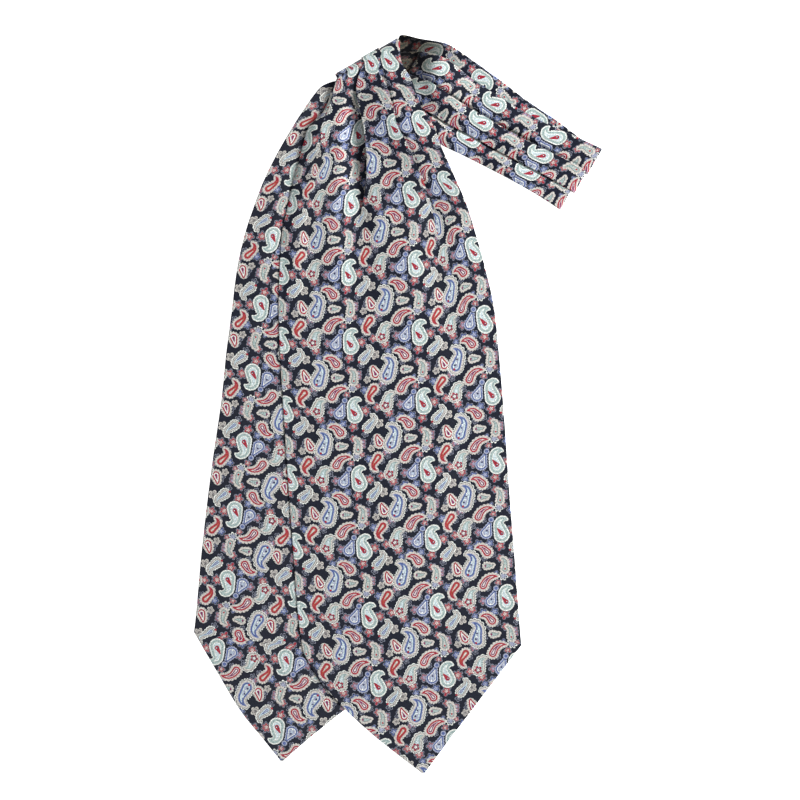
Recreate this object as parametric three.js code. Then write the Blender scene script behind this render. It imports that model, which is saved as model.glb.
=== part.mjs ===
// Silk cravat laid down flat: a pleated neckband folded in half, with a pointed blade at each end.
// Millimetres, +Z up, +Y towards the neckband. The origin is under the middle of the footprint.
import * as THREE from "three";

// One thickness of the doubled silk with its interlining, and the space between stretches.
const WALL = 1.2;
const SEAM_GAP = 0.3;

// Neckband: its folded layers, lower run and upper run, and the rounded fold at its right end.
const UNDER_STACK = 2.2;
const OVER_STACK = 2.2;
const OVER_LIFT = UNDER_STACK + SEAM_GAP;
const END_WALL = 1.5;
const END_STEPS = 8;

// A pleat's upper row stands above the next row by one step, with a slit under its rounded lip.
const PLEAT_STEP = 0.8;
const LEAST_STEP = 0.06;
const SLIT_DEPTH = 1.6;
const SLIT_HEIGHT = 0.35;
const LIP_UNDERCUT = 0.15;
const LIP_NOSE = 0.25;
const LIP_ROUND = 0.4;

// A sewn edge is rounded over this much of its width.
const EDGE_ROUND = 0.35;
const EDGE_SHARE = 0.04;

// The front blade's turn: the line it rolls round, the height of the blade's underside there, and its pleats
// as shares of the width.
const TURN_AXIS = { leftX: -40, leftY: 216, rightX: 2, rightY: 240 };
const TURN_UNDERSIDE = 6.6;
const TURN_STEPS = 9;
const TURN_PLEATS = { flap: 0.03, side: 0.43, middle: 0.7, flapStep: 0.3, sideStep: 0.8, middleStep: 0.8 };
const TURN_LEVEL = { lift: TURN_UNDERSIDE, liftRight: TURN_UNDERSIDE, rampAt: 0.2, ramp: 30, puff: 0 };

// The neckband's right end, seen from the turn: upper edge first.
const END_AXIS = { leftX: 134.6, leftY: 170.6, rightX: 104.9, rightY: 131.2 };

// The middle row of the neckband's upper run lies between these shares of its width.
const OVER_MIDDLE_FROM = 0.365;
const OVER_MIDDLE_TO = 0.705;

// The back blade leaves the middle of the upper run's layers.
const BACK_START_LIFT = OVER_LIFT + (OVER_STACK - WALL) / 2;

// Points across a row of cloth, and sections for each row of a blade's table.
const POINTS = { front: 6, frontInner: 22, back: 14, over: 5, overInner: 12, under: 8 };
const SECTIONS_PER_ROW = 2;

const SILK = { name: "printed_silk", color: 0x2a3042, roughness: 0.45 };

// Front blade, from the turn to its corners: its edges, and its pleats as shares of the width.
const FRONT_PLACES = table(
  ["leftX", "leftY", "rightX", "rightY", "flap", "side", "middle"],
  [
    [-44.0, 209.5, 2.7, 227.5, 0.03, 0.37, 0.67],
    [-46.7, 200.7, 9.3, 214.7, 0.035, 0.335, 0.7],
    [-51.3, 192.7, 15.3, 197.3, 0.06, 0.395, 0.72],
    [-59.3, 184.7, 23.3, 184.7, 0.1, 0.434, 0.71],
    [-63.3, 172.7, 28.0, 172.0, 0.13, 0.455, 0.765],
    [-66.0, 162.7, 32.7, 162.0, 0.14, 0.455, 0.775],
    [-70.0, 148.0, 39.3, 147.3, 0.145, 0.445, 0.795],
    [-73.3, 132.7, 46.0, 132.0, 0.14, 0.415, 0.8],
    [-77.3, 114.7, 52.0, 112.7, 0.14, 0.39, 0.8],
    [-78.7, 94.7, 58.0, 91.3, 0.14, 0.39, 0.8],
    [-79.7, 69.3, 64.0, 64.7, 0.14, 0.39, 0.8],
    [-79.0, 39.3, 67.3, 34.0, 0.14, 0.39, 0.8],
    [-76.7, -0.7, 70.7, -6.7, 0.14, 0.39, 0.8],
    [-73.7, -47.3, 74.0, -54.7, 0.14, 0.39, 0.8],
    [-70.0, -97.3, 78.0, -105.3, 0.14, 0.39, 0.8],
    [-66.7, -140.7, 81.3, -149.3, 0.14, 0.39, 0.8],
    [-63.3, -165.3, 82.3, -160.7, 0.14, 0.39, 0.8],
  ],
);
// The same rows: what each pleat stands above the next row of cloth, the underside's height at the left and
// at the right, the share of the width where that changes, the width of this ramp, and how far the cloth
// puffs up.
const FRONT_FORMS = table(
  ["flapStep", "sideStep", "middleStep", "lift", "liftRight", "rampAt", "ramp", "puff"],
  [
    [0.4, 0.8, 0.8, 6.3, 6.5, 0.2, 30, 0.3],
    [0.6, 0.8, 0.8, 5.6, 6.3, 0.2, 30, 0.5],
    [0.6, 0.8, 0.8, 4.8, 6.1, 0.2, 30, 1.2],
    [0.5, 0.8, 0.8, 3.6, 5.9, 0.3, 30, 2.2],
    [0.3, 0.8, 0.8, 2.6, 5.4, 0.4, 30, 3.2],
    [0.06, 0.8, 0.8, 2.0, 4.2, 0.5, 30, 3.6],
    [0.06, 0.5, 0.8, 1.6, 2.6, 0.56, 24, 3.4],
    [0.06, 0.06, 0.6, 1.6, 1.2, 0.61, 20, 2.8],
    [0.06, 0.06, 0.2, 1.6, 0.5, 0.64, 16, 2.0],
    [0.06, 0.06, 0.06, 1.6, 0, 0.66, 14, 1.2],
    [0.06, 0.06, 0.06, 1.6, 0, 0.685, 14, 0.4],
    [0.06, 0.06, 0.06, 1.6, 0, 0.71, 14, 0.1],
    [0.06, 0.06, 0.06, 1.6, 0, 0.73, 14, 0],
    [0.06, 0.06, 0.06, 1.6, 0, 0.69, 14, 0],
    [0.06, 0.06, 0.06, 1.6, 0, 0.62, 14, 0],
    [0.06, 0.06, 0.06, 1.6, 0, 0.56, 14, 0],
    [0.06, 0.06, 0.06, 1.6, 0, 0.52, 14, 0],
  ],
);

// Front blade's point, below its corners.
const FRONT_POINT = table(
  ["leftX", "leftY", "rightX", "rightY", "lift", "rampAt"],
  [
    [-52.0, -184.7, 66.0, -182.0, 1.6, 0.46],
    [-35.3, -203.3, 49.3, -204.0, 1.6, 0.1],
    [-13.3, -223.3, 34.0, -224.0, 0, 0],
    [15.7, -245.7, 18.0, -245.7, 0, 0],
  ],
);

// Back blade, from the neckband round under the front blade and down to its corners: outer edge, inner edge
// and the underside's height.
const BACK_PLACES = table(
  ["leftX", "leftY", "rightX", "rightY", "lift"],
  [
    [-1.0, 233.5, -11.5, 192.5, 2.7],
    [-17.0, 227.0, -13.5, 190.0, 2.7],
    [-33.0, 217.5, -15.0, 186.5, 2.7],
    [-46.5, 213.8, -16.0, 182.5, 2.2],
    [-54.0, 208.5, -16.5, 177.0, 1.4],
    [-67.0, 190.0, -15.5, 169.5, 0.4],
    [-79.5, 169.0, -12.5, 160.0, 0],
    [-89.5, 149.0, -7.0, 148.5, 0],
    [-96.5, 130.5, -1.0, 132.5, 0],
    [-102.5, 112.0, 4.5, 112.5, 0],
    [-107.5, 89.0, 10.5, 89.5, 0],
    [-111.0, 61.0, 17.0, 62.5, 0],
    [-114.5, 34.5, 22.5, 36.0, 0],
    [-118.0, 1.0, 28.5, -4.0, 0],
    [-124.5, -44.0, 26.0, -51.0, 0],
    [-130.5, -94.0, 20.0, -104.0, 0],
    [-134.5, -138.0, 12.5, -150.5, 0],
    [-136.0, -152.0, 6.5, -170.5, 0],
  ],
);
const BACK_POINT = table(
  ["leftX", "leftY", "rightX", "rightY", "lift"],
  [
    [-121.3, -177.3, -9.3, -183.3, 0],
    [-105.3, -204.0, -36.7, -204.7, 0],
    [-89.3, -224.0, -60.7, -224.0, 0],
    [-78.3, -237.7, -76.3, -237.7, 0],
  ],
);

// Neckband, from its right end to where the front blade hides it: upper edge, lower edge.
const OVER_PLACES = table(
  ["leftX", "leftY", "rightX", "rightY"],
  [
    [116.0, 179.3, 91.3, 140.0],
    [102.7, 184.7, 74.7, 149.3],
    [81.3, 196.0, 59.3, 157.3],
    [61.3, 208.7, 44.7, 164.7],
    [48.0, 217.3, 28.0, 172.7],
    [38.0, 225.3, 13.3, 180.7],
    [28.0, 231.3, 1.3, 188.0],
    [14.7, 234.7, -8.0, 194.0],
  ],
);
const UNDER_PLACES = table(
  ["leftX", "leftY", "rightX", "rightY"],
  [
    [123.3, 176.0, 92.0, 142.0],
    [105.3, 189.3, 75.3, 150.7],
    [85.3, 202.7, 55.3, 163.3],
    [68.0, 216.0, 38.7, 175.3],
    [49.3, 229.3, 22.7, 187.3],
    [36.0, 238.0, 12.0, 195.0],
    [28.0, 241.0, 7.0, 199.5],
    [14.7, 243.3, 2.0, 203.0],
    [4.7, 245.7, -6.0, 205.0],
  ],
);

// Rows of numbers as rows of named values.
function table(columns, rows) {
  return rows.map((row) => Object.fromEntries(columns.map((column, i) => [column, row[i]])));
}

// A table's rows with more rows between them, each column on a smooth curve through its values.
function spread(rows, stepsPerRow) {
  const more = [];
  const last = rows.length - 1;
  for (let i = 0; i < last; i += 1) {
    const around = [rows[Math.max(i - 1, 0)], rows[i], rows[i + 1], rows[Math.min(i + 2, last)]];
    for (let step = 0; step < stepsPerRow; step += 1) {
      more.push(blend(around, step / stepsPerRow));
    }
  }
  more.push(rows[last]);
  return more;
}

// A row at a share of the way from the second of four rows to the third.
function blend(around, share) {
  const row = {};
  for (const column of Object.keys(around[1])) {
    const [before, from, to, after] = around.map((other) => other[column]);
    const leave = (to - before) / 2;
    const arrive = (after - from) / 2;
    const bend = 2 * (from - to) + leave + arrive;
    const sag = 3 * (to - from) - 2 * leave - arrive;
    row[column] = ((bend * share + sag) * share + leave) * share + from;
  }
  return row;
}

function widthOf(row) {
  return Math.hypot(row.rightX - row.leftX, row.rightY - row.leftY);
}

// A line moved to the side that its blade lies on, as the seam's gap asks.
function movedIn(axis, gap) {
  const width = widthOf(axis);
  const x = ((axis.rightY - axis.leftY) / width) * gap;
  const y = (-(axis.rightX - axis.leftX) / width) * gap;
  return { leftX: axis.leftX + x, leftY: axis.leftY + y, rightX: axis.rightX + x, rightY: axis.rightY + y };
}

// The same line read from its other end.
function turnedRound(axis) {
  return { leftX: axis.rightX, leftY: axis.rightY, rightX: axis.leftX, rightY: axis.leftY };
}

// A section standing on a line: its first number runs from the line's left end, its second goes up.
function standing(row) {
  const width = widthOf(row);
  const acrossX = (row.rightX - row.leftX) / width;
  const acrossY = (row.rightY - row.leftY) / width;
  return (across, up) => new THREE.Vector3(row.leftX + acrossX * across, row.leftY + acrossY * across, up);
}

// A section turned about a level axis: its second number is the distance from the axis.
function turned(axis, axisHeight, angle) {
  const width = widthOf(axis);
  const acrossX = (axis.rightX - axis.leftX) / width;
  const acrossY = (axis.rightY - axis.leftY) / width;
  const out = Math.sin(angle);
  const rise = Math.cos(angle);
  return (across, far) =>
    new THREE.Vector3(
      axis.leftX + acrossX * across - acrossY * out * far,
      axis.leftY + acrossY * across + acrossX * out * far,
      axisHeight + rise * far,
    );
}

// The lip of one pleat, from left to right: a slit, the underside of the upper row and its rounded nose.
function lip(pleat, low, high) {
  const size = pleat.step / PLEAT_STEP;
  const side = pleat.upper === "right" ? 1 : -1;
  const slitTop = low + SLIT_HEIGHT * size;
  const points = [
    [pleat.edge + side * SLIT_DEPTH * size, low],
    [pleat.edge + side * SLIT_DEPTH * size, slitTop],
    [pleat.edge + side * LIP_UNDERCUT * size, slitTop],
    [pleat.edge - side * LIP_NOSE * size, (slitTop + high) / 2],
  ];
  return side > 0 ? points : points.reverse();
}

// The closed outline of a section of cloth: its outer side from left to right with the pleats between its
// rows, then its plain inner side back. The whole outline follows lift, the height of the inner side.
function clothOutline({ width, wall, pleats, rowPoints, innerPoints, lift }) {
  const round = Math.min(EDGE_ROUND, width * EDGE_SHARE);
  const flat = [[0, wall / 2]];
  let level = wall;
  let start = round;
  for (const pleat of pleats) {
    const rightOver = pleat.upper === "right";
    const rounding = (LIP_ROUND * pleat.step) / PLEAT_STEP;
    const next = rightOver ? level + pleat.step : level - pleat.step;
    flat.push(...rowOf(start, rightOver ? pleat.edge : pleat.edge - rounding, level, rowPoints));
    flat.push(...lip(pleat, Math.min(level, next), Math.max(level, next)));
    start = rightOver ? pleat.edge + rounding : pleat.edge;
    level = next;
  }
  flat.push(...rowOf(start, width - round, level, rowPoints));
  flat.push([width, level / 2]);
  flat.push(...rowOf(width - round, round, 0, innerPoints));
  return flat.map(([across, up]) => new THREE.Vector2(across, up + lift(across)));
}

// Evenly spaced points of one row of cloth.
function rowOf(from, to, level, count) {
  return Array.from({ length: count }, (_, i) => [from + ((to - from) * i) / (count - 1), level]);
}

// A closed wall through sections that have the same number of points.
function sweep(sections) {
  const count = sections[0].outline.length;
  const points = sections.flatMap(({ outline, place }) => outline.map((p) => place(p.x, p.y)));
  const faces = [];
  for (let j = 0; j < sections.length - 1; j += 1) {
    for (let i = 0; i < count; i += 1) {
      const here = j * count + i;
      const beside = j * count + ((i + 1) % count);
      faces.push(here, here + count, beside + count, here, beside + count, beside);
    }
  }
  const lastRing = (sections.length - 1) * count;
  for (const [a, b, c] of THREE.ShapeUtils.triangulateShape(sections[0].outline, [])) {
    faces.push(a, c, b);
  }
  for (const [a, b, c] of THREE.ShapeUtils.triangulateShape(sections.at(-1).outline, [])) {
    faces.push(lastRing + a, lastRing + b, lastRing + c);
  }
  const geometry = new THREE.BufferGeometry().setFromPoints(points);
  geometry.setIndex(faces);
  geometry.computeVertexNormals();
  return geometry;
}

function smooth(share) {
  return THREE.MathUtils.smoothstep(share, 0, 1);
}

// The three pleats of the front blade at one section.
function frontPleats(row, width) {
  return [
    { edge: row.flap * width, step: Math.max(row.flapStep, LEAST_STEP), upper: "right" },
    { edge: row.side * width, step: Math.max(row.sideStep, LEAST_STEP), upper: "right" },
    { edge: row.middle * width, step: Math.max(row.middleStep, LEAST_STEP), upper: "left" },
  ];
}

// The front blade's underside: down from the back blade or the neckband to the table, puffed in each row.
function frontLift(row, width) {
  const edges = [0, row.flap, row.side, row.middle, 1].map((share) => share * width);
  return (across) => {
    const onward = smooth((across - row.rampAt * width) / row.ramp);
    const i = Math.max(edges.findIndex((edge) => across < edge), 1);
    const share = (across - edges[i - 1]) / (edges[i] - edges[i - 1]);
    const puffed = row.puff * Math.sin(Math.PI * THREE.MathUtils.clamp(share, 0, 1)) ** 2;
    return Math.max(THREE.MathUtils.lerp(row.lift, row.liftRight, onward), 0) + Math.max(puffed, 0);
  };
}

function frontSection(row) {
  const width = widthOf(row);
  const outline = clothOutline({
    width,
    wall: WALL,
    pleats: frontPleats(row, width),
    rowPoints: POINTS.front,
    innerPoints: POINTS.frontInner,
    lift: frontLift(row, width),
  });
  return { outline, place: standing(row) };
}

function frontBlade() {
  const top = { ...movedIn(TURN_AXIS, SEAM_GAP), ...TURN_PLEATS, ...TURN_LEVEL };
  const rows = [top, ...FRONT_PLACES.map((place, i) => ({ ...place, ...FRONT_FORMS[i] }))];
  const corners = rows.at(-1);
  const point = [corners, ...FRONT_POINT.map((row) => ({ ...corners, ...row }))];
  const sections = [...spread(rows, SECTIONS_PER_ROW), ...spread(point, SECTIONS_PER_ROW).slice(1)];
  return sweep(sections.map(frontSection));
}

// The fold between the neckband's lower run and the front blade, rolled over from below.
function frontTurn() {
  const width = widthOf(TURN_AXIS);
  const highest = TURN_UNDERSIDE + WALL + TURN_PLEATS.flapStep + TURN_PLEATS.sideStep;
  const axisHeight = highest / 2;
  const outline = clothOutline({
    width,
    wall: WALL,
    pleats: frontPleats(TURN_PLEATS, width),
    rowPoints: POINTS.front,
    innerPoints: POINTS.frontInner,
    lift: () => TURN_UNDERSIDE - axisHeight,
  });
  const sections = [];
  for (let step = 0; step <= TURN_STEPS; step += 1) {
    const angle = Math.PI * (1 - step / TURN_STEPS);
    sections.push({ outline, place: turned(TURN_AXIS, axisHeight, angle) });
  }
  return sweep(sections);
}

function plainSection(row, wall, points) {
  const width = widthOf(row);
  const outline = clothOutline({
    width,
    wall,
    pleats: [],
    rowPoints: points,
    innerPoints: points,
    lift: () => Math.max(row.lift, 0),
  });
  return { outline, place: standing(row) };
}

// The back blade starts behind the end of the neckband's upper run.
function backBlade() {
  const start = { ...movedIn(OVER_PLACES.at(-1), SEAM_GAP), lift: BACK_START_LIFT };
  const rows = [start, ...BACK_PLACES];
  const point = [rows.at(-1), ...BACK_POINT];
  const sections = [...spread(rows, SECTIONS_PER_ROW), ...spread(point, SECTIONS_PER_ROW).slice(1)];
  return sweep(sections.map((row) => plainSection(row, WALL, POINTS.back)));
}

function overOutline(width, wall, lift) {
  return clothOutline({
    width,
    wall,
    pleats: [
      { edge: OVER_MIDDLE_FROM * width, step: PLEAT_STEP, upper: "right" },
      { edge: OVER_MIDDLE_TO * width, step: PLEAT_STEP, upper: "left" },
    ],
    rowPoints: POINTS.over,
    innerPoints: POINTS.overInner,
    lift: () => lift,
  });
}

// The neckband's upper run, with the fold at its right end that joins it to the lower run.
function neckbandOver() {
  const axisHeight = (OVER_LIFT + OVER_STACK + PLEAT_STEP) / 2;
  const bore = axisHeight - END_WALL - PLEAT_STEP;
  const endOutline = overOutline(widthOf(END_AXIS), END_WALL, bore);
  const sections = [];
  for (let step = 0; step <= END_STEPS; step += 1) {
    const angle = Math.PI * (1 - step / END_STEPS);
    sections.push({ outline: endOutline, place: turned(END_AXIS, axisHeight, angle) });
  }
  for (const row of OVER_PLACES) {
    sections.push({ outline: overOutline(widthOf(row), OVER_STACK, OVER_LIFT), place: standing(row) });
  }
  return sweep(sections);
}

// The neckband's lower run, one rounded stack of layers from the right end to the front blade's turn.
function neckbandUnder() {
  const start = movedIn(END_AXIS, SEAM_GAP);
  const end = turnedRound(movedIn(TURN_AXIS, SEAM_GAP));
  const rows = [start, ...UNDER_PLACES, end].map((row) => ({ ...row, lift: 0 }));
  return sweep(rows.map((row) => plainSection(row, UNDER_STACK, POINTS.under)));
}

const STRETCHES = {
  back_blade: backBlade,
  neckband_under: neckbandUnder,
  neckband_over: neckbandOver,
  front_turn: frontTurn,
  front_blade: frontBlade,
};

const cravat = new THREE.Group();
for (const [name, build] of Object.entries(STRETCHES)) {
  const stretch = new THREE.Mesh(build(), new THREE.MeshStandardMaterial(SILK));
  stretch.name = name;
  cravat.add(stretch);
}

export default cravat;
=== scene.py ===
"""Silk cravat laid down flat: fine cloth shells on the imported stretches, in a printed paisley silk."""

import math

import bpy
import numpy as np
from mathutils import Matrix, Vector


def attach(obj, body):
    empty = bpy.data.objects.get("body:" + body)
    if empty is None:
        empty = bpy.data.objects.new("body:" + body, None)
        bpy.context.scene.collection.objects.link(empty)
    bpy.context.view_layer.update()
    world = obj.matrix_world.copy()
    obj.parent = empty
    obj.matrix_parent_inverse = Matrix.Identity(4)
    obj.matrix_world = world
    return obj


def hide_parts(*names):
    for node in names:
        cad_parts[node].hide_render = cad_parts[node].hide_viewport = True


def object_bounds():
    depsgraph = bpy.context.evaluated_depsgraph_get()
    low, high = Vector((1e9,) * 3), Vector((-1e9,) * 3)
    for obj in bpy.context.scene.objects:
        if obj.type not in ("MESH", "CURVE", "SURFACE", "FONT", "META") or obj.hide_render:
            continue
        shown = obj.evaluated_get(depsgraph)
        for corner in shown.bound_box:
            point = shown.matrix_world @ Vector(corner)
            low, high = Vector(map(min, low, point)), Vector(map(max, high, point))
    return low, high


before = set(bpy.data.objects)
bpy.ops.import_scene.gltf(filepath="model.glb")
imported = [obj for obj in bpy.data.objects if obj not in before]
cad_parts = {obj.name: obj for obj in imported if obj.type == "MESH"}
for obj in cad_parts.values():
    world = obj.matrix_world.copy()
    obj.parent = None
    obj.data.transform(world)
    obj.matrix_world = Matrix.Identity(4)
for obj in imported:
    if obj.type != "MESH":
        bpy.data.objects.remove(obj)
packed_low, packed_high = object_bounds()

# The sizes below are millimetres of the cravat as it lies; MM is one of them in the frame's metres.
LYING_LENGTH = 491.4
MM = (packed_high.y - packed_low.y) / LYING_LENGTH

# A wall of doubled silk, the neckband's two runs, the upper one's height, and the wall round its right end.
WALL = 0.8
UNDER_STACK = 2.2
OVER_STACK = 2.2
OVER_LIFT = 2.5
END_WALL = 1.5

# A pleat: its step in the neckband and the least one, the slit under its lip (how far it goes in, and its
# share of the step), the lip's rounding, the room for that, and the points round it.
PLEAT_STEP = 0.8
LEAST_STEP = 0.06
SLIT_DEPTH = 1.6
SLIT_SHARE = 0.44
LIP_ROUND = 0.5
LIP_CLEAR = 1.02
LIP_POINTS = 7
# The crevice beside a lip: its width, and the share of it that has a level bottom.
CREVICE_WIDTH = 1.7
CREVICE_FLAT = 0.7

# A sewn edge is rounded over this much of the cloth, or over this share of a narrow section.
EDGE_ROUND = 0.6
EDGE_SHARE = 0.04
EDGE_POINTS = 6

# Points across a row of cloth, across the back blade and along the inner side, sections for each row of a
# table, and steps round a fold.
ROW_POINTS = 26
BACK_POINTS = 78
INNER_POINTS = 48
FINE_STEPS = 8
TURN_STEPS = 20

# The lines that the front blade and the neckband's right end fold round, the front blade's height over
# its fold, and how far each row of the right end slants outward.
TURN_AXIS = {"leftX": -40.4, "leftY": 216.7, "rightX": 1.2, "rightY": 240.5}
TURN_UNDERSIDE = 6.6
END_AXIS = {"leftX": 135.3, "leftY": 170.2, "rightX": 105.6, "rightY": 130.8}
END_TOOTH = 2.2

# The front blade's rows of cloth are the flap, the left, the middle and the right one.
LEFT_ROW = 1
RIGHT_ROW = 3
# The part of half a wave that the puff of each row follows: 0 or 1 is a low end and 0.5 a high one.
HIGH_ENDS = np.array(((0.0, 0.5), (0.5, 0.5), (0.3, 0.5), (0.5, 0.62)))
# Where the pleats have faded, the right row has this share of the puff.
RIGHT_ROW_PUFF = 0.4
# The left row sinks into a channel beside the middle row: where it starts to sink and where it is down.
CHANNEL_FROM = 0.42
CHANNEL_AT = 0.74
# A crease grows over one part in so many of its length, and fades over one part in so many.
CREASE_GROWS = 4
CREASE_FADES = 2.5

# The middle row of the neckband's upper run, as shares of the width.
OVER_MIDDLE_FROM = 0.365
OVER_MIDDLE_TO = 0.705
# The rows of the upper run puff up, fully after one part in so many of the run.
OVER_PUFF = 1.0
PUFF_STARTS = 6
# The crevices beside its middle row: their depths, how many waves they open and close in, the least share
# of the depth, and the share of the run where they begin to end.
UPPER_CREVICE = 2.0
LOWER_CREVICE = 1.3
UPPER_GAPES = 5.5
LOWER_GAPES = 4.6
GAPE_LEAST = 0.75
GAPES_UNTIL = 0.8
# The upper run rises to a crest beside the front blade and drops behind it: shares of the run where the
# crest stands at the upper and at the lower edge, the shares over which it rises and drops, its height,
# the share of the width where it fades, and how much thinner the run is behind it.
CREST_TOP = 0.9
CREST_BOTTOM = 0.54
CREST_RISE = 0.4
CREST_DROP = 0.16
CREST_HEIGHT = 3.6
CREST_FADES = 0.34
END_DROP = 1.3
# The lower run beside the front blade's upper corner: a raised strip, then a hollow with a raised rim, at
# shares of the run.
STRIP_FROM = 0.4
STRIP_HEIGHT = 3.6
STRIP_WIDTH = 8.0
HOLLOW_FROM = 0.58
HOLLOW_AT = 0.74
HOLLOW_DEPTH = 1.2
RIM_HEIGHT = 2.5
RIM_WIDTH = 5.0
# In the hollow beside the front blade's fold the print is darkened to a dull brown as painted shade: the
# shares of the upper and of the lower run where that starts, and what is left of the print's light.
PAINTED_SHADE_FROM = 0.79
UNDER_PAINTED_SHADE_FROM = 0.46
PAINTED_SHADE_TONE = (0.19, 0.17, 0.14)

# The print: its repeat, and for each blade a silver motif's middle, the print's own directions, and the
# repeats from that motif to the left edge.
REPEAT = 46.4
FRONT_PRINT = {"middle": (-26.3, -49.3), "right": (46.0, 6.0), "down": (4.33, -45.5)}
FRONT_LEFT_EDGE = -1.03
BACK_PRINT = {"middle": (-109.4, -74.0), "right": (-45.7, 7.0), "down": (5.8, 45.8)}
BACK_LEFT_EDGE = 0.41
# A step below the first size squeezes the print over this width, and one above the second breaks it.
SHARP_FROM = 0.08
SHARP_TO = 0.5
SOFT_WIDTH = 26.0
# The print is bent near the front blade's left edge: how far, how wide, and where it starts and is full.
BEND_HEIGHT = 7.3
BEND_WIDTH = 45.0
BEND_TOP = 172.0
BEND_FULL = 130.0
# It is bent right of the middle pleat too: how far, how wide, and where it is full, fades and ends.
RIGHT_BEND_HEIGHT = 4.2
RIGHT_BEND_WIDTH = 14.0
RIGHT_BEND_FULL = 85.0
RIGHT_BEND_FADES = 150.0
RIGHT_BEND_ENDS = 178.0
# On the upper run: a motif's middle, the way the print runs, its slant, how far each row's motifs lie
# from the upper edge, and how much farther at the left end. The first rows of the back blade carry this
# print on.
OVER_PRINT = {"middle": (54.7, 188.7), "along": (39.0, -22.7), "skew": 0.1}
OVER_MOTIFS = (5.7, 21.0, 35.0)
LEFT_END_SHIFT = 3.0
HIDDEN_ROWS = 2
# On the lower run: the same, and how much closer its motifs stand left of that middle.
UNDER_PRINT = {"middle": (56.3, 216.0), "along": (-37.7, 24.0), "below_edge": 6.8, "squeezed": 1.14}

# The scalloped edge of a paisley: pitch, roundness, middle height, and how far in it can be seen.
SCALLOP_LENGTH = 1.8
SCALLOP_SHARP = 0.6
SCALLOP_MIDDLE = 0.5
SCALLOP_REACH = 1.1
# How deep a flower's petals are cut, as a share of its radius.
PETAL_DEPTH = 0.7
# The depth where the outermost ring of a drawing starts.
OUTLINE_FROM = 0.005
# Uneven ink: the grain's size, the noise that counts, and how far it darkens and lightens the print.
GRAIN = 0.75
NOISE_FROM = 0.3
NOISE_TO = 0.7
GRAIN_DARKEST = 0.5
GRAIN_LIGHTEST = 1.4
# The silk's twill lines and its gloss.
TWILL_PITCH = 0.5
TWILL_HEIGHT = 0.04
SILK_ROUGHNESS = 0.5
SILK_SPECULAR = 0.1
SHEEN = 0.2
SHEEN_ROUGHNESS = 0.2

# The picture: its width and middle on the table, and the camera's height and sensor.
FRAME_WIDTH = 533.3
FRAME_MIDDLE = (1.3, 2.7)
CAMERA_HEIGHT = 2000.0
SENSOR = 36.0
# Floor and lamp, in metres, and their light.
FLOOR_SIZE = 6.0
FLOOR_COLOUR = (0.95, 0.95, 0.95, 1.0)
FLOOR_ROUGHNESS = 0.9
FLOOR_GLOW = 1.0
LAMP_SIZE = 0.8
LAMP_PLACE = (1.45, 0.55, 1.1)
LAMP_POWER = 69.0
SKY_LIGHT = 0.42
WHITE = (1.0, 1.0, 1.0, 1.0)

FLOAT = "NodeSocketFloat"
VECTOR = "NodeSocketVector"


def table(columns, rows):
    """Rows of numbers as rows of named values."""
    return [dict(zip(columns.split(), map(float, row))) for row in rows]


# Front blade, from the turn to its corners: its edges, its pleats as shares of the width, and how much
# cloth each pleat hides.
FRONT_PLACES = table("leftX leftY rightX rightY flap side middle flapHides sideHides middleHides", [
    (-40.4, 216.7, 1.2, 240.5, 0.03, 0.43, 0.71, 37, 31, 35),
    (-44.0, 209.5, 2.2, 227.5, 0.03, 0.37, 0.67, 34, 30.5, 34),
    (-46.7, 200.7, 9.3, 214.7, 0.035, 0.335, 0.7, 30, 30, 32),
    (-51.3, 192.7, 15.3, 197.3, 0.06, 0.395, 0.72, 21, 27, 30),
    (-59.3, 184.7, 23.3, 184.7, 0.1, 0.434, 0.71, 13, 24, 29),
    (-63.3, 172.7, 28.0, 172.0, 0.13, 0.455, 0.765, 11.5, 19, 27.5),
    (-66.0, 162.7, 32.7, 162.0, 0.14, 0.455, 0.775, 10, 14, 26),
    (-70.0, 148.0, 39.3, 147.3, 0.145, 0.445, 0.795, 7.5, 10, 21),
    (-73.3, 132.7, 46.0, 132.0, 0.14, 0.415, 0.8, 5, 6, 15),
    (-77.3, 114.7, 52.0, 112.7, 0.14, 0.39, 0.8, 3, 4, 9),
    (-78.7, 94.7, 58.0, 91.3, 0.14, 0.39, 0.8, 1.5, 2, 5),
    (-79.7, 69.3, 64.0, 64.7, 0.14, 0.39, 0.8, 0.5, 0.8, 3.3),
    (-79.0, 39.3, 67.3, 34.0, 0.14, 0.39, 0.8, 0, 0, 1),
    (-76.7, -0.7, 70.7, -6.7, 0.14, 0.39, 0.8, 0, 0, 0),
    (-73.7, -47.3, 74.0, -54.7, 0.14, 0.39, 0.8, 0, 0, 0),
    (-70.0, -97.3, 78.0, -105.3, 0.14, 0.39, 0.8, 0, 0, 0),
    (-66.7, -140.7, 81.3, -149.3, 0.14, 0.39, 0.8, 0, 0, 0),
    (-63.3, -165.3, 82.3, -160.7, 0.14, 0.39, 0.8, 0, 0, 0),
])
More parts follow.
